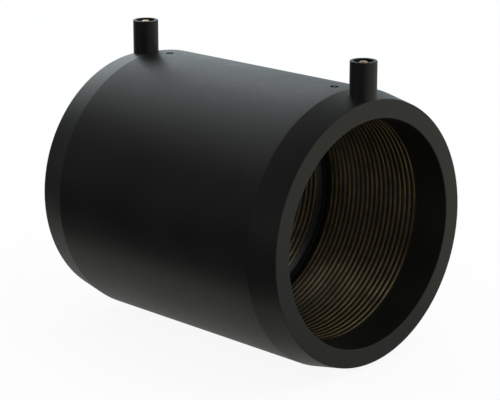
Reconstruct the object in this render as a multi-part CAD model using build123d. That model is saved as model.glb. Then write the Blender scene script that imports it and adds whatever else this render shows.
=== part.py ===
from build123d import *
import math
import os

# Electrofusion coupler for polyethylene pipe of 110 mm.
# Millimetres. The origin is on the bore axis at mid-length, +X runs along the bore and
# +Z points up to the two electrical terminals. "right" is the +X end, "left" the -X end.

# Moulded body
pipe_diameter = 110.0
pipe_gap = 0.5              # radial room round the pipe
wall = 12.0                 # from the bore to the outside
body_length = 162.2
taper_length = 15.7         # the outside narrows over this length at each end
taper_drop = 2.9            # how much radius the taper loses
face_edge = 0.4             # bevel on the outer edge of each end face
mouth_edge = 0.5            # bevel on the bore's mouth

# Pipe stop in the middle of the bore
stop_width = 2.7
stop_height = 3.0

# Heating winding: one wire, wound in a zone on each side of the stop
turns_right = 18.75
turns_left = 18.25
pitch = 3.05
first_turn_x = 4.1          # from the middle of the bore to the first turn of each zone
wire_depth = 1.5            # the wire's section is a wedge, its crest towards the bore
wire_base = 1.9
crest_sink = 0.05           # crest below the bore's surface
runs_per_turn = 24          # a turn is a row of this many straight runs

# Terminals
shroud_outer = 12.9
shroud_bore = 9.5
shroud_height = 15.0        # rim above the body's outside
shroud_setback = 0.05       # shroud's side behind the end face
rim_edge = 0.35
well_depth = 11.9           # from the rim to the floor round the pin
pin_diameter = 4.0
pin_drop = 0.4              # tip below the rim
tip_edge = 0.5
root_diameter = 4.6         # buried stretch between the foot and the floor
foot_diameter = 5.4
foot_length = 5.0
foot_cover = 3.5            # plastic between the foot and the bore

# Fusion indicators
indicator_outer = 4.0
indicator_stub = 1.6
indicator_depth = 4.0
indicator_inset = 8.8       # from the start of the taper towards the middle

# Clearances
insert_gap = 0.02           # round metal that is moulded in
lead_gap = 0.06             # round the wire where it runs inside the wall
slot_rise = 0.1             # the crossing's slot reaches this far above the bore's surface

# Worked-out places
half_length = body_length / 2
bore_radius = pipe_diameter / 2 + pipe_gap
body_radius = bore_radius + wall
face_radius = body_radius - taper_drop
taper_start = half_length - taper_length
run_angle = 2 * math.pi / runs_per_turn
crest_radius = (bore_radius + crest_sink) / math.cos(run_angle / 2)
wire_line = crest_radius + wire_depth / 2
bed_radius = math.hypot(crest_radius + wire_depth, wire_base / 2) + insert_gap
bed_start = first_turn_x - wire_base / 2 - insert_gap
turns = {1: turns_right, -1: turns_left}
last_turn_x = {side: first_turn_x + turns[side] * pitch for side in turns}
bed_end = {side: last_turn_x[side] + wire_base / 2 + insert_gap for side in turns}
terminal_x = half_length - shroud_outer / 2 - shroud_setback
rim_z = body_radius + shroud_height
floor_z = rim_z - well_depth
tip_z = rim_z - pin_drop
foot_z = bore_radius + foot_cover
weld_z = foot_z + foot_length / 2
weld_x = terminal_x - foot_diameter / 2 - insert_gap
indicator_x = taper_start - indicator_inset
sides = {"right": 1, "left": -1}


def turned(points, axis=Axis.X):
    """A solid turned about an axis from a closed outline in the XZ plane."""
    return revolve(make_face(Polyline(*[(x, 0, z) for x, z in points], close=True)), axis)


def mirrored(points):
    """An outline from the +X end to the middle, continued to the -X end."""
    return points + [(-x, z) for x, z in reversed(points)]


def bore_side(side):
    """Half of the bore's outline, from one mouth over the winding's bed to the pipe stop."""
    points = [
        (half_length, bore_radius + mouth_edge),
        (half_length - mouth_edge, bore_radius),
        (bed_end[side], bore_radius),
        (bed_end[side], bed_radius),
        (bed_start, bed_radius),
        (bed_start, bore_radius),
        (stop_width / 2, bore_radius),
        (stop_width / 2, bore_radius - stop_height),
    ]
    return [(side * x, r) for x, r in points]


def body_shell():
    """The moulded tube with tapered ends, the winding's two beds and the pipe stop."""
    outside = mirrored([
        (half_length, face_radius - face_edge),
        (half_length - face_edge, face_radius),
        (taper_start, body_radius),
    ])
    return turned(outside + bore_side(-1) + bore_side(1)[::-1])


def terminal_pin(side, grow=0.0):
    """The turned contact pin with its anchored foot; grow makes the pocket it sits in."""
    shank = pin_diameter / 2
    root = root_diameter / 2 + grow
    foot = foot_diameter / 2 + grow
    foot_top = foot_z + foot_length + grow
    outline = [
        (0, foot_z - grow),
        (foot, foot_z - grow),
        (foot, foot_top),
        (root, foot_top),
        (root, floor_z),
        (shank, floor_z),
        (shank, tip_z - tip_edge),
        (shank - tip_edge, tip_z),
        (0, tip_z),
    ]
    return Pos(X=side * terminal_x) * turned(outline, Axis.Z)


def shroud(side):
    """The moulded tube that guards a pin, from inside the wall up to its rim."""
    outer = shroud_outer / 2
    outline = [
        (0, foot_z),
        (outer, foot_z),
        (outer, rim_z - rim_edge),
        (outer - rim_edge, rim_z),
        (0, rim_z),
    ]
    return Pos(X=side * terminal_x) * turned(outline, Axis.Z)


def shroud_well(side):
    """The round space inside a shroud, from its floor to beyond the rim."""
    well = Cylinder(shroud_bore / 2, 2 * well_depth, align=(Align.CENTER, Align.CENTER, Align.MIN))
    return Pos(side * terminal_x, 0, floor_z) * well


def indicator_well(side):
    """The ring-shaped well round an indicator's stub, cut from the top of the body."""
    base = (Align.CENTER, Align.CENTER, Align.MIN)
    ring = Cylinder(indicator_outer / 2, 2 * indicator_depth, align=base)
    ring -= Cylinder(indicator_stub / 2, 2 * indicator_depth, align=base)
    return Pos(side * indicator_x, 0, body_radius - indicator_depth) * ring


def station(x, angle, line, along, across, grow=0.0):
    """The wire's section at a place: a wedge with its crest towards the axis. along and across
    say how far its base reaches along the bore and round it."""
    outward = Vector(0, math.cos(angle), math.sin(angle))
    round_it = Vector(0, -math.sin(angle), math.cos(angle))
    centre = Vector(x, 0, 0) + outward * line
    depth = outward * (wire_depth / 2 + grow)
    base = (Vector(1, 0, 0) * along + round_it * across) * (wire_base / 2 + grow)
    return Wire.make_polygon([centre - depth, centre + depth + base, centre + depth - base])


def zone(side):
    """Stations of one zone, from its first turn outwards. The winding is right-handed."""
    found = []
    for run in range(1, round(turns[side] * runs_per_turn)):
        x = first_turn_x + run * pitch / runs_per_turn
        found.append(station(side * x, math.pi + side * run * run_angle, wire_line, 1, 0))
    return found


def lead(side, grow=0.0):
    """Two stations of the wire's end: its corner at the last turn, and its weld on the foot."""
    corner = station(side * last_turn_x[side], math.pi / 2, wire_line, 1, -1, grow)
    weld = station(side * (weld_x + grow), math.pi / 2, weld_z, 0, -1, grow)
    return [corner, weld]


def heating_wire():
    """One wire from weld to weld: a zone, the crossing under the pipe stop, the other zone."""
    crossing = [station(side * first_turn_x, math.pi, wire_line, 1, -1) for side in (1, -1)]
    right = zone(1) + lead(1)
    left = zone(-1) + lead(-1)
    return Solid.make_loft(right[::-1] + crossing + left, ruled=True)


def crossing_slot():
    """The slot in the bore that the crossing lies in."""
    low = bore_radius - slot_rise
    high = wire_line + wire_depth / 2 + lead_gap
    slot = Box(2 * first_turn_x, high - low, wire_base + 2 * lead_gap)
    return Pos(Y=-(low + high) / 2) * slot


def coupler_body():
    body = body_shell()
    for side in sides.values():
        body += shroud(side)
    for side in sides.values():
        body -= shroud_well(side)
        body -= terminal_pin(side, insert_gap)
        body -= indicator_well(side)
        body -= Solid.make_loft(lead(side, lead_gap), ruled=True)
    return body - crossing_slot()


parts = {"coupler_body": coupler_body(), "heating_wire": heating_wire()}
for end, side in sides.items():
    parts["terminal_pin_" + end] = terminal_pin(side)

os.makedirs("parts", exist_ok=True)
for name, solid in parts.items():
    export_step(solid, "parts/" + name + ".step")
    print(name, round(solid.volume, 1))
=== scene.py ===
# %% [markdown]
# An electrofusion coupler joins two polyethylene pipes. Pipe ends go in from both sides up to
# a stop in the middle, current goes in at the two terminals on top, and the wire wound just
# under the surface of the bore melts pipe and coupler into one.
# The CAD model comes in first as a fixed frame. Everything below is placed from its boxes, so
# nothing has to be fitted by eye.

# %% Load the frame
import math

import bmesh
import bpy
import numpy as np
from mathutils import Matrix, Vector


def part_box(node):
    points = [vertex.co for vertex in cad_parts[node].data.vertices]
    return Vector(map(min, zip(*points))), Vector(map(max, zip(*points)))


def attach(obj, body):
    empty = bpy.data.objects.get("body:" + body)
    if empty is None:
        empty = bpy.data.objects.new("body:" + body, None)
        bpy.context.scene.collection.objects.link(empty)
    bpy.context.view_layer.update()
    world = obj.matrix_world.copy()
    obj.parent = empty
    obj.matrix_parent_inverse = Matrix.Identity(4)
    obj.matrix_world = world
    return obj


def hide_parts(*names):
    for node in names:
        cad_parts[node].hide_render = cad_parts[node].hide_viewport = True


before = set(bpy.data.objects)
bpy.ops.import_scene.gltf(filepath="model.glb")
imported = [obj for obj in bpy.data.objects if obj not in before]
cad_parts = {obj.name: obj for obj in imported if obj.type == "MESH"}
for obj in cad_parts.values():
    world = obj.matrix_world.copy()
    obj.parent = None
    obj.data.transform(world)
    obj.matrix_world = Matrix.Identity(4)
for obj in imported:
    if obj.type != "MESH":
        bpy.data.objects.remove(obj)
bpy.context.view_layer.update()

MM = 0.001

# %% [markdown]
# The sizes that the CAD source names are needed again here. Those that a box can give are read
# from it, so they can't drift away from the CAD. The others are small features. They are
# written once, in millimetres, as a maker's drawing has them, and the helper that makes a mesh
# turns millimetres into metres at the very end.

# %% Sizes of the moulding
half_length, body_radius, rim_z = np.array(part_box("coupler_body")[1]) / MM
wall, taper_drop, taper_length = 12.0, 2.9, 15.7
bore_radius = body_radius - wall
face_radius = body_radius - taper_drop
taper_start = half_length - taper_length
face_edge, mouth_edge, taper_blend = 0.4, 0.5, 4.0
stop_half, stop_height, stop_edge, stop_foot = 1.35, 3.0, 0.4, 0.3
shroud_radius, well_radius, well_depth = 6.45, 4.75, 11.9
well_floor = rim_z - well_depth
indicator_radius, stub_radius, indicator_depth, indicator_inset = 2.0, 0.8, 4.0, 8.8
indicator_x = taper_start - indicator_inset
SIDES = {"right": 1, "left": -1}
TOP = math.pi / 2
print("body radius", round(float(body_radius), 2), "half length", round(float(half_length), 2))

# %% Sizes of the winding and the terminals
pitch, wire_radius, first_turn_x = 3.05, 0.75, 4.1
turns = {1: 18.75, -1: 18.25}
bed_margin, bed_depth, bed_edge = 0.97, 2.06, 0.03
bed_start = first_turn_x - bed_margin
bed_end = {side: first_turn_x + count * pitch + bed_margin for side, count in turns.items()}
bed_radius = bore_radius + bed_depth
pin_low, pin_high = (np.array(corner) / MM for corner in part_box("terminal_pin_right"))
terminal_x = (pin_low[0] + pin_high[0]) / 2
pin_radius, tip_z = 2.0, pin_high[2]
print("terminals at", round(float(terminal_x), 2), "mm from the middle")
print("beds from", round(bed_start, 2), "to", [round(end, 2) for end in bed_end.values()])

# %% [markdown]
# Every piece is a sheet of points with rows and columns. A tube closes round in one direction,
# a ring in both, and a lid shrinks to one point, a pole. Cylinders joined by booleans could
# make the same shapes, but they leave long thin faces that shade badly, while a sheet has even
# rows and is a formula that can be read and changed. One helper makes the mesh from the points,
# so that seams and poles are always closed. It also works out the signed volume: when that
# comes out negative the faces point inwards, and the helper turns them round.

# %% Sheets of points to faces
def sheet_faces(rows, columns, wrap_rows, wrap_columns):
    """Corner numbers of the quads between each row and the next and each column and the next.
    A wrapped direction joins its last line to its first."""
    index = np.arange(rows * columns).reshape(rows, columns)
    if wrap_rows:
        index = np.vstack([index, index[:1]])
    if wrap_columns:
        index = np.hstack([index, index[:, :1]])
    corners = [index[:-1, :-1], index[:-1, 1:], index[1:, 1:], index[1:, :-1]]
    return np.stack(corners, -1).reshape(-1, 4)


def signed_volume(points, quads):
    """Sum over the faces, as two triangles each, of a . (b x c) / 6."""
    a, b, c, d = (points[quads[:, k]] for k in range(4))
    first = np.einsum("ij,ij->i", a, np.cross(b, c))
    second = np.einsum("ij,ij->i", a, np.cross(c, d))
    return float((first + second).sum() / 6)


print("a closed ring of 3 by 4 points has", len(sheet_faces(3, 4, True, True)), "faces")


# %% From points to a finished piece
MERGE_WITHIN = 5e-7


def make_piece(name, points, quads, stands_for, material):
    """A mesh piece from points in millimetres and quads. Points that coincide, at seams and
    poles, are merged, and points that no face uses go. The piece rides on the root body, takes
    its finish from the slot and stands for a solid of the CAD."""
    if signed_volume(points, quads) < 0:
        quads = quads[:, ::-1]
    mesh = bpy.data.meshes.new(name)
    mesh.vertices.add(len(points))
    mesh.vertices.foreach_set("co", (points * MM).astype(np.float32).ravel())
    mesh.loops.add(quads.size)
    mesh.loops.foreach_set("vertex_index", quads.astype(np.int32).ravel())
    mesh.polygons.add(len(quads))
    mesh.polygons.foreach_set("loop_start", np.arange(0, quads.size, 4, dtype=np.int32))
    mesh.polygons.foreach_set("use_smooth", np.ones(len(quads), bool))
    mesh.update(calc_edges=True)
    work = bmesh.new()
    work.from_mesh(mesh)
    bmesh.ops.remove_doubles(work, verts=work.verts, dist=MERGE_WITHIN)
    unused = [v for v in work.verts if not v.link_faces]
    bmesh.ops.delete(work, geom=unused, context="VERTS")
    open_edges = sum(not e.is_manifold for e in work.edges)
    work.to_mesh(mesh)
    work.free()
    piece = bpy.data.objects.new(name, mesh)
    bpy.context.scene.collection.objects.link(piece)
    mesh.materials.append(material)
    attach(piece, "root")
    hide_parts(stands_for)
    print(name, len(mesh.vertices), "points", len(mesh.polygons), "faces", open_edges, "open edges")


def sheet_piece(name, sheet, is_ring, stands_for, material):
    """A piece from one sheet whose columns close round. The rows of a ring close too."""
    faces = sheet_faces(*sheet.shape[:2], is_ring, True)
    make_piece(name, sheet.reshape(-1, 3), faces, stands_for, material)


print("points closer than", MERGE_WITHIN / MM, "mm become one")

# %% [markdown]
# The outline of a moulded or turned part has small rounds at its corners, because a mould
# can't be cut dead sharp and light catches on the round. A Bevel modifier could make them, but
# it gives every corner the same radius. Here the outline is given by its sharp corners and a
# radius for each, and a helper lays an arc into every corner. Short support lines beside each
# arc keep the shading of the flats flat.

# %% Outlines with rounded corners
def rounded_outline(corners, radii, steps=5, closed=True, support=0.12):
    """Points of an outline whose corner k is an arc of radius radii[k], tangent to both sides.
    Its centre lies on the corner's bisector. From the centre, a point of the arc is
    (start sin((1 - t) w) + end sin(t w)) / sin w, with w the angle that the arc sweeps, start
    and end its two tangent points, and t from 0 to 1 in equal steps."""
    corners = np.array(corners, float)
    before = np.roll(corners, 1, 0)
    after = np.roll(corners, -1, 0)
    found = []
    for k, (corner, radius) in enumerate(zip(corners, radii)):
        if radius <= 0 or (not closed and k in (0, len(corners) - 1)):
            found.append(corner[None])
            continue
        back = (before[k] - corner) / np.linalg.norm(before[k] - corner)
        ahead = (after[k] - corner) / np.linalg.norm(after[k] - corner)
        half = math.acos(float(np.clip(back @ ahead, -1, 1))) / 2
        reach = radius / math.tan(half)
        bisector = (back + ahead) / np.linalg.norm(back + ahead)
        centre = corner + bisector * radius / math.sin(half)
        start, end = corner + back * reach - centre, corner + ahead * reach - centre
        t = np.linspace(0, 1, steps + 1)[:, None]
        sweep = math.pi - 2 * half
        swept = start * np.sin((1 - t) * sweep) + end * np.sin(t * sweep)
        arc = centre + swept / math.sin(sweep)
        found += [arc[:1] + back * support, arc, arc[-1:] + ahead * support]
    return np.vstack(found)


square = rounded_outline([(0, 0), (1, 0), (1, 1), (0, 1)], [0.2] * 4)
print("a square with rounded corners has", len(square), "points")


# %% Outlines cut finer, and turned about an axis
def fine_runs(outline, spacing, closed=True):
    """The outline with every run longer than spacing cut into n equal shorter ones. The points
    of a run from a to b are a + (b - a) k / n, for k from 0 to n - 1."""
    starts = outline if closed else outline[:-1]
    along = (np.roll(outline, -1, 0) if closed else outline[1:]) - starts
    cuts = np.maximum(1, np.ceil(np.linalg.norm(along, axis=1) / spacing)).astype(int)
    run = np.repeat(np.arange(len(cuts)), cuts)
    k = np.arange(len(run)) - np.repeat(np.cumsum(cuts) - cuts, cuts)
    points = starts[run] + along[run] * (k / cuts[run])[:, None]
    return points if closed else np.vstack([points, outline[-1:]])


def turned_about_x(outline, angles):
    """Rows of the outline (x, r), columns of the angles: (x, r cos a, r sin a)."""
    x, r = outline[:, :1], outline[:, 1:]
    return np.stack([x + 0 * angles, r * np.cos(angles), r * np.sin(angles)], -1)


def turned_about_z(outline, angles, centre_x):
    """Rows of the outline (r, z), columns of the angles, about a vertical axis at centre_x."""
    r, z = outline[:, :1], outline[:, 1:]
    return np.stack([centre_x + r * np.cos(angles), r * np.sin(angles), z + 0 * angles], -1)


print("cut into runs of a quarter at most it has", len(fine_runs(square, 0.25)), "points")

# %% [markdown]
# Black polyethylene is satin, never glossy. Fine grain from the mould breaks up its
# highlights, soft clouds of more and less polish run over it, and handling leaves hair-thin
# scuffs that catch the light at a low angle. An image texture would need a flattened copy of
# each piece, and would show its seam. So all of it is made from noise on Object coordinates,
# which stays in place and runs on from one piece to the next.

# %% Nodes in short
def shader_nodes(name):
    """A new material, its node tree and its Principled shader."""
    material = bpy.data.materials.new(name)
    material.use_nodes = True
    return material, material.node_tree, material.node_tree.nodes["Principled BSDF"]


def add(tree, kind, links=None, **settings):
    """A node with its settings and input values or links in one call."""
    node = tree.nodes.new(kind)
    for key, value in settings.items():
        setattr(node, key, value)
    for key, value in (links or {}).items():
        if isinstance(value, bpy.types.NodeSocket):
            tree.links.new(value, node.inputs[key])
        else:
            node.inputs[key].default_value = value
    return node


def noise(tree, place, scale, detail, roughness=0.5):
    """Noise of that many blotches to the metre, from 0 to 1."""
    inputs = {"Vector": place, "Scale": scale, "Detail": detail, "Roughness": roughness}
    return add(tree, "ShaderNodeTexNoise", inputs).outputs["Fac"]


def ramp(tree, value, low, high, start=0.0, end=1.0):
    """value from start..end carried to low..high, and held there outside."""
    inputs = {"Value": value, "From Min": start, "From Max": end, "To Min": low, "To Max": high}
    return add(tree, "ShaderNodeMapRange", inputs).outputs["Result"]


def blend_colours(tree, share, first, second):
    """first where share is 0, second where it is 1."""
    node = add(tree, "ShaderNodeMix", {"Factor": share}, data_type="RGBA")
    for socket, value in (("A_Color", first), ("B_Color", second)):
        target = next(i for i in node.inputs if i.identifier == socket)
        if isinstance(value, bpy.types.NodeSocket):
            tree.links.new(value, target)
        else:
            target.default_value = (*value, 1)
    return next(o for o in node.outputs if o.identifier == "Result_Color")


def relief(tree, height, strength, distance, under=None):
    """A bump up to distance metres deep, on top of the one under it."""
    inputs = {"Height": height, "Strength": strength, "Distance": distance}
    if under is not None:
        inputs["Normal"] = under
    return add(tree, "ShaderNodeBump", inputs).outputs["Normal"]


helpers = (shader_nodes, add, noise, ramp, blend_colours, relief)
print("helpers for nodes:", [helper.__name__ for helper in helpers])


# %% Black polyethylene
def polyethylene(name, tone=1.0, grain=1.0):
    """Black moulded polyethylene: clouds of two blacks under hair-thin scuffs, dull by clouds
    and skin, with a skin and a finer grain as relief. tone scales its lightness, grain the
    depth of its relief."""
    material, tree, shader = shader_nodes(name)
    deep, soft, scuffed = (
        [tone * value for value in black]
        for black in ((0.0036, 0.0036, 0.0031), (0.0056, 0.0056, 0.0047), (0.012, 0.012, 0.011))
    )
    place = add(tree, "ShaderNodeTexCoord").outputs["Object"]
    stretch = add(tree, "ShaderNodeMapping", {"Vector": place, "Scale": (35.0, 900.0, 900.0)})
    clouds = noise(tree, place, 28.0, 5.0, 0.55)
    skin = noise(tree, place, 420.0, 4.0, 0.6)
    fine = noise(tree, place, 2600.0, 3.0, 0.6)
    hair = noise(tree, stretch.outputs["Vector"], 1.0, 3.0, 0.7)

    # colour: clouds of two blacks, and the scuffs on top
    base = blend_colours(tree, ramp(tree, clouds, 0, 1, 0.35, 0.65), deep, soft)
    base = blend_colours(tree, ramp(tree, hair, 0, 1, 0.66, 0.80), base, scuffed)
    tree.links.new(base, shader.inputs["Base Color"])

    # roughness: what the skin gives, a little more or less by the clouds
    by_clouds = ramp(tree, clouds, -0.02, 0.03, 0.3, 0.7)
    by_skin = ramp(tree, skin, 0.39, 0.44, 0.3, 0.7)
    dull = add(tree, "ShaderNodeMath", {0: by_clouds, 1: by_skin}, operation="ADD")
    tree.links.new(dull.outputs[0], shader.inputs["Roughness"])

    # relief: the skin of the mould, and a finer grain over it
    skin_relief = relief(tree, skin, 0.06 * grain, 0.0002)
    fine_relief = relief(tree, fine, 0.12 * grain, 0.00006, skin_relief)
    tree.links.new(fine_relief, shader.inputs["Normal"])
    shader.inputs["Specular IOR Level"].default_value = 0.3
    return material


body_plastic = polyethylene("black_polyethylene")
# The wound stretches of the bore take a copy of the same plastic, 1.3 times lighter: painted light,
# standing in for the light that falls into the bore through its mouths.
bore_plastic_painted_lighter = polyethylene("black_polyethylene_of_the_bore_painted_lighter", tone=1.3, grain=1.4)
print("plastics:", body_plastic.name, "and", bore_plastic_painted_lighter.name)

# %% [markdown]
# The body is one moulding: a thick tube whose ends taper a little, with a narrow stop ring in
# the middle of the bore and a bed on each side of it for the winding. It is a body of
# revolution. The Screw modifier could turn the outline about the bore's axis with equal steps.
# A formula does it here, because the columns stand one degree apart but closer near the top,
# where the fusion indicators need them.

# %% Outline of the body
ON_OUTSIDE = 1e-6
half_outline = [
    (half_length, face_radius, face_edge),
    (taper_start, body_radius, taper_blend),
]


def half_bore(side):
    """Corners and rounds of one half of the bore, from the mouth to the stop."""
    return [
        (half_length, bore_radius, mouth_edge),
        (bed_end[side], bore_radius, bed_edge),
        (bed_end[side], bed_radius, 0.0),
        (bed_start, bed_radius, 0.0),
        (bed_start, bore_radius, bed_edge),
        (stop_half, bore_radius, stop_foot),
        (stop_half, bore_radius - stop_height, stop_edge),
    ]


right_half = half_bore(1)[::-1] + half_outline
left_half = half_outline[::-1] + half_bore(-1)
corners = right_half + [(-x, r, edge) for x, r, edge in left_half]
body_outline = rounded_outline([(x, r) for x, r, _ in corners], [edge for _, _, edge in corners])
on_barrel = body_outline[:, 1] > body_radius - ON_OUTSIDE
print("body outline:", len(body_outline), "points,", int(on_barrel.sum()), "of them on the barrel")

# %% [markdown]
# A fusion indicator is a small stub in a round well. When the joint is hot the melt pushes the
# stub up, and the welder sees that the joint took heat. A boolean could cut the well, but it
# would leave slivers all round it. So in the mesh a square window of the body's own grid is
# left out round each one, and a patch fills it: its outer edge is the window's edge, point for
# point, and inside it runs down to the well, across its floor and up the stub.

# %% The body's grid with its two windows
window_cells, window_degrees = 12, 3.0
window_half = math.radians(window_degrees) * body_radius
window_line = np.linspace(-1, 1, window_cells + 1)
window_x = [side * indicator_x + window_half * window_line for side in SIDES.values()]
longest_run, row_spacing, rows_to = 6.0, 4.0, 40.0

each_degree = np.radians(np.arange(0, 360, 1.0))
near_top = TOP + np.radians(window_degrees) * window_line
angles = np.unique(np.round(np.concatenate([each_degree, near_top]), 9))

first = np.argmax(on_barrel)
last = len(on_barrel) - np.argmax(on_barrel[::-1])
even_rows = np.arange(-rows_to, rows_to + row_spacing / 2, row_spacing)
barrel_ends = [body_outline[first, 0], body_outline[last - 1, 0]]
barrel_x = np.sort(np.concatenate([*window_x, even_rows, barrel_ends]))[::-1]
barrel = np.stack([barrel_x, np.full(len(barrel_x), body_radius)], -1)
outline = np.vstack([body_outline[:first], barrel, body_outline[last:]])
outline = fine_runs(outline, longest_run)
body_points = turned_about_x(outline, angles)
rows, columns = body_points.shape[:2]
body_quads = sheet_faces(rows, columns, True, True)
print("grid:", rows, "rows and", columns, "columns")


# %% Patches for the fusion indicators
def indicator_patch(centre_x, rings=6, around=0.6, lip=0.18, below=0.05):
    """The square's edge (x, s), s along the girth, shrinks to a circle: ring t of it is
    (1 - t) square + t circle, lifted on to the cylinder. From the circle on, radius and depth
    follow the outline of well and stub, and the stub's lid closes in a pole. The circle lies
    the length around outside the well, and the lid lies just below the barrel."""
    one, up, down = np.ones(window_cells), window_line[:-1], window_line[::-1][:-1]
    edge_x, edge_s = np.concatenate([up, one, down, -one]), np.concatenate([-one, up, one, down])
    square = np.stack([edge_x, edge_s], -1) * window_half
    turn = np.arctan2(square[:, 1], square[:, 0])
    circle = np.stack([np.cos(turn), np.sin(turn)], -1)
    well = indicator_radius
    profile = rounded_outline(
        [
            (well + around, 0), (well, 0), (well, indicator_depth),
            (stub_radius, indicator_depth), (stub_radius, below), (0, below),
        ],
        [0, lip, 0.3, 0.2, 0.15, 0], closed=False, support=0.05,
    )
    t = np.linspace(0, 1, rings + 1)[:-1, None, None]
    outer = (1 - t) * square + t * circle * profile[0, 0]
    inner = profile[:, :1, None] * circle
    flat = np.concatenate([outer, inner])
    depth = np.concatenate([np.zeros(len(outer)), profile[:, 1]])[:, None]
    # in the window a point goes round the girth, inside the well straight down
    distance = np.hypot(flat[..., 0], flat[..., 1])
    bend = np.clip((distance - well) / (window_half - well), 0, 1)
    girth_y = body_radius * np.sin(flat[..., 1] / body_radius)
    y = (1 - bend) * flat[..., 1] + bend * girth_y
    z = np.sqrt(body_radius ** 2 - y ** 2) - depth
    return np.stack([centre_x + flat[..., 0], y, z], -1)


points, quads = body_points.reshape(-1, 3), body_quads
middle = points[quads].mean(1)
on_top = (abs(middle[:, 1]) < window_half) & (middle[:, 2] > body_radius - 1)
in_window = on_top & (abs(abs(middle[:, 0]) - indicator_x) < window_half)
quads = quads[~in_window]
print("the two windows leave out", int(in_window.sum()), "quads")

# %% The moulded body
body_volume = signed_volume(points, quads)
for side in SIDES.values():
    patch = indicator_patch(side * indicator_x)
    patch_quads = sheet_faces(*patch.shape[:2], False, True)
    upward = np.cross(patch[1, 0] - patch[0, 0], patch[0, 1] - patch[0, 0])[2] < 0
    if upward != (body_volume > 0):
        patch_quads = patch_quads[:, ::-1]
    quads = np.vstack([quads, patch_quads + len(points)])
    points = np.vstack([points, patch.reshape(-1, 3)])

make_piece("moulded_body", points, quads, "coupler_body", body_plastic)

# %% [markdown]
# Each terminal stands in a round shroud that keeps fingers off the live pin. It is part of the
# same moulding, so a small fillet runs round its foot. Joining it to the barrel's mesh would
# need a seam of odd faces. It is a piece of its own whose foot dips into the barrel, and only
# the fillet has to fit: for each angle the foot's height is that of the barrel there, and where
# the end face is close the fillet gets as small as the room that is left.

# %% Shrouds
def barrel_height(x, y):
    """Height of the body's outside above the axis at (x, y): sqrt(R(x)^2 - y^2), with R read
    from the outline."""
    outside = outline[outline[:, 1] > face_radius - face_edge - ON_OUTSIDE]
    order = np.argsort(outside[:, 0])
    return np.sqrt(np.interp(x, outside[order, 0], outside[order, 1]) ** 2 - y ** 2)


def shroud_points(side, segments=144, foot_round=0.2, foot_rows=7, buried_z=60.0):
    """Outside: from a buried ring up to the fillet, whose height at distance d from the wall is
    f - sqrt(f^2 - (f - d)^2) above the barrel, then the wall, the rim and down the well."""
    least_round, sunk, above_fillet, tiny, far = 0.02, 0.004, 1.6, 1e-3, 1e3
    wall_foot = body_radius + above_fillet
    a = np.linspace(0, 2 * math.pi, segments, endpoint=False)
    outward = np.cos(a) * side
    to_face = (half_length - least_round - terminal_x) / np.maximum(outward, tiny)
    room = np.where(outward > tiny, to_face, far) - shroud_radius
    f = np.clip(room, least_round, foot_round)
    t = np.linspace(0, math.pi / 2, foot_rows)[:, None]
    r = shroud_radius + f * (1 - np.sin(t))
    x, y = side * terminal_x + r * np.cos(a), r * np.sin(a)
    foot = np.stack([x, y, barrel_height(x, y) - sunk + f * (1 - np.cos(t))], -1)
    buried = foot[:1].copy()
    buried[..., 2] = buried_z
    middle = np.stack([side * terminal_x + 0 * a, 0 * a, buried_z + 0 * a], -1)[None]
    above = rounded_outline(
        [
            (shroud_radius, wall_foot), (shroud_radius, rim_z), (well_radius, rim_z),
            (well_radius, well_floor), (0, well_floor),
        ],
        [0, 0.35, 0.3, 0.5, 0], closed=False, steps=6,
    )
    return np.concatenate([middle, buried, foot, turned_about_z(above, a, side * terminal_x)])


for label, side in SIDES.items():
    sheet = shroud_points(side)
    sheet_piece("shroud_" + label, sheet, False, "coupler_body", body_plastic)

# %% [markdown]
# The wire is embedded in the plastic of the bore, and only its crest shows, level with the plain
# wall on either side of the winding. The plastic banks up against each turn and sinks a little
# half-way to the next. A bump in the material would look flat from the side, so the surface is
# real. It follows the winding's helix, so it is written as a height over the bore: how many
# turns a place lies from the first turn, and the fraction of that number says how far it is
# from a wire.

# %% The winding's helix
wire_line = bore_radius + wire_radius


def turn_number(distance, angle_from_start):
    """Number of turns at a place: distance / pitch from the first turn's start, less the part
    of a turn that the angle has gone. Whole numbers are wires."""
    return distance / pitch - angle_from_start / (2 * math.pi)


print("one pitch on, half a turn round:", turn_number(pitch, math.pi), "turns")


# %% The wound stretches of the bore
def wound_bore(side, bank=0.21, valley=0.52, steps=304, degrees_apart=1.25):
    """Rows along the bore, about 16 to a turn, and columns round it. The radius is the bore's,
    plus a depth that swings between bank at a wire and valley half-way between two, by the
    square of the sine, faded out beyond the first and the last turn. Two more rows close the
    ring inside the wall behind the bed."""
    fade_end, fade_length, into_wall = 0.80, 0.15, 0.2
    along = np.linspace(bed_start, bed_end[side], steps + 1)[:, None]
    a = np.radians(np.arange(0, 360, degrees_apart))
    gone = np.mod(side * (a - math.pi), 2 * math.pi)
    number = turn_number(along - first_turn_x, gone)
    last_turn = np.floor(turns[side] - gone / (2 * math.pi))
    depth = bank + (valley - bank) * np.sin(math.pi * number) ** 2
    beyond = np.maximum(-number, number - last_turn) * pitch
    fade = np.clip((fade_end - beyond) / fade_length, 0, 1)
    radius = bore_radius + depth * fade ** 2 * (3 - 2 * fade)
    radius[0], radius[-1] = bore_radius, bore_radius
    front = np.stack([side * along + 0 * a, radius * np.cos(a), radius * np.sin(a)], -1)
    behind = bed_radius + into_wall
    ends = np.array([(side * bed_end[side], behind), (side * bed_start, behind)])
    return np.concatenate([front, turned_about_x(ends, a)])


for label, side in SIDES.items():
    sheet = wound_bore(side)
    sheet_piece("wound_bore_" + label, sheet, True, "coupler_body", bore_plastic_painted_lighter)

# %% [markdown]
# The heating wire is bare resistance wire, dull from the heat of the moulding, and the pins are
# turned brass. Both are metals, so their colour sits in the reflection. One flat colour would
# look like paint: two tones mixed by noise, duller where it is darker, look handled.

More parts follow.
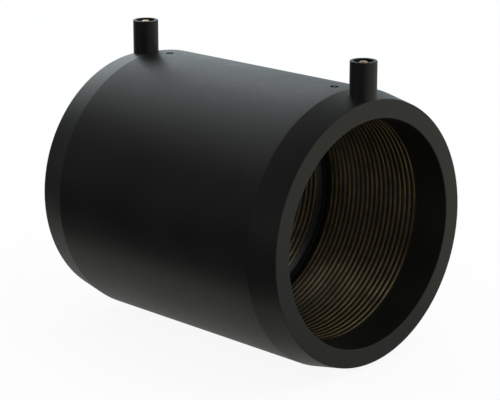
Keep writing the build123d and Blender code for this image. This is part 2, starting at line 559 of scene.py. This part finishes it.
# %% Metal finishes
def drawn_metal(name, bright, dark, rough, tarnish_scale, streak=(1.0, 1.0, 1.0), bump=0.15):
    """Bare metal: two tones mixed by noise, duller where it is darker, with fine streaks."""
    material, tree, shader = shader_nodes(name)
    place = add(tree, "ShaderNodeTexCoord").outputs["Object"]
    stretch = add(tree, "ShaderNodeMapping", {"Vector": place, "Scale": streak})
    cloud = noise(tree, place, tarnish_scale, 6.0, 0.65)
    lines = noise(tree, stretch.outputs["Vector"], 3000.0, 2.0)
    tone = blend_colours(tree, ramp(tree, cloud, 0, 1, 0.38, 0.68), bright, dark)
    dull = ramp(tree, cloud, rough - 0.08, rough + 0.14, 0.3, 0.7)
    tree.links.new(tone, shader.inputs["Base Color"])
    tree.links.new(dull, shader.inputs["Roughness"])
    tree.links.new(relief(tree, lines, bump, 0.00003), shader.inputs["Normal"])
    shader.inputs["Metallic"].default_value = 1.0
    return material


wire_metal = drawn_metal(
    "resistance_wire", (0.270, 0.202, 0.090), (0.130, 0.096, 0.042), 0.38, 90.0
)
pin_metal = drawn_metal(
    "turned_brass", (0.50, 0.31, 0.13), (0.28, 0.17, 0.08), 0.28, 260.0, streak=(1.0, 1.0, 6.0)
)
print("metals:", wire_metal.name, "and", pin_metal.name)

# %% [markdown]
# The heating wire is one length of resistance wire from terminal to terminal. A curve object
# with a round bevel could make it, but its points would have to be found one by one. On the
# unrolled bore the path is simple: a nearly straight slope for one zone, a short run along the
# bore under the stop, and the same slope again. The corners get a bend, the path is rolled up,
# and a circle is carried along it.

# %% The wire's path on the unrolled bore
girth = 2 * math.pi * wire_line
bend_radius, runs_per_turn = 2.5, 150


def zone_end(side):
    """(x, s) of the last turn's end, s along the girth: the slope's end on that side."""
    along = first_turn_x + turns[side] * pitch
    return side * along, girth / 2 + side * turns[side] * girth


flat_path = rounded_outline(
    [zone_end(1), (first_turn_x, girth / 2), (-first_turn_x, girth / 2), zone_end(-1)],
    [0, bend_radius, bend_radius, 0], closed=False, steps=8, support=1.0,
)
flat_path = fine_runs(flat_path, girth / runs_per_turn, closed=False)
wire_length = np.linalg.norm(np.diff(flat_path, axis=0), axis=1).sum()
print("wire length in m:", round(float(wire_length) * MM, 2))


# %% The heating wire
def rolled_wire(path, sides=10):
    """(x, s) on the unrolled bore goes to angle s / R at radius R. Round each point stands a
    circle of the wire's radius, spanned by the outward direction and the sideways one, which is
    the path's direction crossed with the outward one. The ends close in poles."""
    angle = path[:, 1] / wire_line
    outward = np.stack([0 * angle, np.cos(angle), np.sin(angle)], -1)
    centre = outward * wire_line
    centre[:, 0] = path[:, 0]
    ahead = np.gradient(centre, axis=0)
    sideways = np.cross(ahead / np.linalg.norm(ahead, axis=1)[:, None], outward)
    sideways /= np.linalg.norm(sideways, axis=1)[:, None]
    t = np.linspace(0, 2 * math.pi, sides, endpoint=False)[None, :, None]
    circle = np.cos(t) * outward[:, None] + np.sin(t) * sideways[:, None]
    rings = centre[:, None] + wire_radius * circle
    lids = [np.repeat(centre[k][None, None], sides, 1) for k in (0, -1)]
    return np.concatenate([lids[0], rings, lids[1]])


sheet = rolled_wire(flat_path)
sheet_piece("heating_winding", sheet, False, "heating_wire", wire_metal)

# %% [markdown]
# A terminal is a turned brass pin. Only its upper end shows, down in the shroud. It has a
# rounded tip so that the welding lead slides on, and faint rings from the lathe. A plain
# cylinder would have a sharp tip that no lathe leaves, so the pin is an outline turned about
# its own axis, as on the lathe. A wider foot anchors it below the well's floor.

# %% Terminal pins
pin_segments, foot_extra, foot_sunk = 96, 0.6, 0.3
foot_radius, foot_top = pin_radius + foot_extra, well_floor - foot_sunk
pin_outline = rounded_outline(
    [
        (0, pin_low[2]), (foot_radius, pin_low[2]), (foot_radius, foot_top),
        (pin_radius, foot_top), (pin_radius, tip_z), (0, tip_z),
    ],
    [0, 0.2, 0.2, 0, 0.5, 0], closed=False, steps=6, support=0.05,
)
round_pin = np.linspace(0, 2 * math.pi, pin_segments, endpoint=False)
for label, side in SIDES.items():
    sheet = turned_about_z(pin_outline, round_pin, side * terminal_x)
    sheet_piece("pin_" + label, sheet, False, "terminal_pin_" + label, pin_metal)

# %% [markdown]
# The coupler lies on a pale studio floor. A brighter lamp would turn the floor white, and the
# coupler grey with it. So for the camera, gloss and glass most of the floor's colour is a white
# glow, which runs into the white behind it, and the rest still takes the soft shadow under the
# barrel. The world is white for them too, and a plain, even light for everything else. Light
# Path tells the two apart, so no white falls on the coupler as light.

# %% Floor
floor_z = -body_radius * MM
floor_radius, floor_corners, floor_gap, glow_share = 6, 128, 0.0002, 0.92


def seen_as_background(tree):
    """1 for a ray from the camera, off gloss or through glass, and 0 for every other."""
    ray = add(tree, "ShaderNodeLightPath")
    rays = {0: ray.outputs["Is Camera Ray"], 1: ray.outputs["Is Glossy Ray"]}
    seen = add(tree, "ShaderNodeMath", rays, operation="MAXIMUM")
    rays = {0: seen.outputs[0], 1: ray.outputs["Is Transmission Ray"]}
    return add(tree, "ShaderNodeMath", rays, operation="MAXIMUM").outputs[0]


floor_mesh = bpy.data.meshes.new("studio_floor")
turn = np.linspace(0, 2 * math.pi, floor_corners, endpoint=False)
level = np.full(floor_corners, floor_z - floor_gap)
edge = np.stack([floor_radius * np.cos(turn), floor_radius * np.sin(turn), level], -1)
floor_mesh.from_pydata(edge.tolist(), [], [list(range(floor_corners))])
floor = bpy.data.objects.new("studio_floor", floor_mesh)
bpy.context.scene.collection.objects.link(floor)

paper, tree, shader = shader_nodes("studio_paper")
shader.inputs["Base Color"].default_value = (0.86, 0.86, 0.86, 1)
shader.inputs["Roughness"].default_value = 0.9
shader.inputs["Specular IOR Level"].default_value = 0.1
seen = seen_as_background(tree)
share = add(tree, "ShaderNodeMath", {0: seen, 1: glow_share}, operation="MULTIPLY").outputs[0]
glow = add(tree, "ShaderNodeEmission", {"Color": (1, 1, 1, 1), "Strength": 1.0}).outputs[0]
both = add(tree, "ShaderNodeMixShader", {0: share, 1: shader.outputs[0], 2: glow})
tree.links.new(both.outputs[0], tree.nodes["Material Output"].inputs["Surface"])
floor_mesh.materials.append(paper)
print("floor at", round(float(floor_z) / MM, 2), "mm, just under the barrel")

# %% World
world = bpy.data.worlds.new("studio")
bpy.context.scene.world = world
world.use_nodes = True
tree = world.node_tree
tree.nodes.clear()
as_light, as_background = 0.8, 1.0
plain, white = (
    add(tree, "ShaderNodeBackground", {"Color": colour, "Strength": strength}).outputs[0]
    for colour, strength in (((0.95, 0.97, 1.0, 1), as_light), ((1, 1, 1, 1), as_background))
)
mixed = add(tree, "ShaderNodeMixShader", {0: seen_as_background(tree), 1: plain, 2: white})
add(tree, "ShaderNodeOutputWorld", {"Surface": mixed.outputs[0]})
print("world:", as_light, "as light,", as_background, "as background")

# %% [markdown]
# A black, satin object is shaped by what it reflects. Soft windows to the left and behind draw
# the long highlight on the barrel's shoulder, and two lamps above only add light, because they
# are kept out of the gloss. More lamps would only make the black grey. Cards do the rest, as in
# a studio that shoots black goods: a pale one where a flank has to lift off the background, a
# black one where it has to stay deep. A card shows in the gloss alone. It lights nothing and
# throws no shadow, so the level of the light stays plain.

# %% Lamps
def look_from(place, target):
    """Rotation that points an object's -Z from place to target."""
    return (Vector(target) - Vector(place)).to_track_quat("-Z", "Y").to_euler()


def soft_light(name, place, size, watts, colour=(1, 1, 1), in_gloss=True):
    """A square area light that looks at the coupler, and may be kept out of its gloss."""
    lamp = bpy.data.lights.new(name, "AREA")
    lamp.energy, lamp.size, lamp.color = watts, size, colour
    thing = bpy.data.objects.new(name, lamp)
    thing.location = place
    thing.rotation_euler = look_from(place, (0, 0, 0))
    thing.visible_glossy = in_gloss
    bpy.context.scene.collection.objects.link(thing)
    print(name, size, "m square,", watts, "W")


north_light = (0.81, 0.95, 1.0)
soft_light("window_left", (-1.5, 0.5, 1.0), 1.3, 5.1, north_light)
soft_light("window_behind", (-1.6, 1.05, 0.45), 0.9, 2.2, north_light)
soft_light("window_right", (0.95, 0.45, 1.35), 0.8, 6.0, in_gloss=False)
soft_light("overhead", (0.2, 0.2, 1.7), 1.2, 3.0, in_gloss=False)


# %% Cards for the gloss
def studio_card(name, place, width, height, brightness, target=(0, 0, 0), tint=(1, 1, 1)):
    """A flat card that looks at the target and shows only in the gloss, evenly bright."""
    card = bpy.data.meshes.new(name)
    w, h = width / 2, height / 2
    card.from_pydata([(-w, -h, 0), (w, -h, 0), (w, h, 0), (-w, h, 0)], [], [(0, 1, 2, 3)])
    thing = bpy.data.objects.new(name, card)
    thing.location = place
    thing.rotation_euler = look_from(place, target)
    thing.visible_camera = thing.visible_diffuse = thing.visible_shadow = False
    bpy.context.scene.collection.objects.link(thing)
    paint = bpy.data.materials.new(name)
    paint.use_nodes = True
    tree = paint.node_tree
    tree.nodes.clear()
    light = add(tree, "ShaderNodeEmission", {"Color": (*tint, 1), "Strength": brightness})
    add(tree, "ShaderNodeOutputMaterial", {"Surface": light.outputs[0]})
    card.materials.append(paint)
    print(name, width, "by", height, "m, brightness", brightness)


def floor_card(name, x, y, layer, width, height, brightness, tint=(1, 1, 1)):
    """A card that lies on the floor and faces up, each layer a millimetre above the last."""
    place = (x, y, floor_z + layer * MM)
    studio_card(name, place, width, height, brightness, (x, y, 1), tint)


studio_card("black_card_left", (-1.4, -1.0, 0.45), 3.0, 1.4, 0.18)
studio_card("black_card_front", (0.9, -1.6, 0.55), 2.4, 2.0, 0.03)
studio_card("grey_card_behind", (-0.3, 1.9, 0.5), 4.0, 1.1, 0.78, tint=(0.83, 0.97, 1.0))
studio_card("dark_card_above", (-0.3, -0.5, 1.2), 1.2, 3.0, 0.05, target=(-0.3, -0.5, 0))
floor_card("grey_card_below", 0, 0, 1, 3.0, 3.0, 0.48, tint=(1, 1, 0.95))
floor_card("pale_card_below", 0.95, 0.95, 2, 1.7, 1.7, 0.78, tint=(1, 1, 0.84))
floor_card("black_card_below", 0.1, -0.95, 3, 3.2, 1.7, 0.05)

# %% [markdown]
# The camera stands nearly a metre off with a long lens, half-way between the front and the
# right end, and a little above. A short lens close by would make the near end swell. Its place
# is given as two angles and a distance from a point near the coupler's middle, which are easier
# to read than three coordinates.

# %% Camera
azimuth, elevation = math.radians(44.796), math.radians(15.700)
distance, target = 0.9420, (0.000924, 0.0, 0.001187)
lens = bpy.data.cameras.new("camera")
lens.lens, lens.sensor_width, lens.clip_end = 136.17, 36.0, 50.0
camera = bpy.data.objects.new("camera", lens)
along_floor = math.cos(elevation)
towards = (
    math.sin(azimuth) * along_floor, -math.cos(azimuth) * along_floor, math.sin(elevation)
)
camera.location = np.array(target) + distance * np.array(towards)
camera.rotation_euler = look_from(camera.location, target)
bpy.context.scene.collection.objects.link(camera)
bpy.context.scene.camera = camera
bpy.context.scene.view_settings.view_transform = "Standard"
print("camera at", [round(float(v), 3) for v in camera.location], "m")
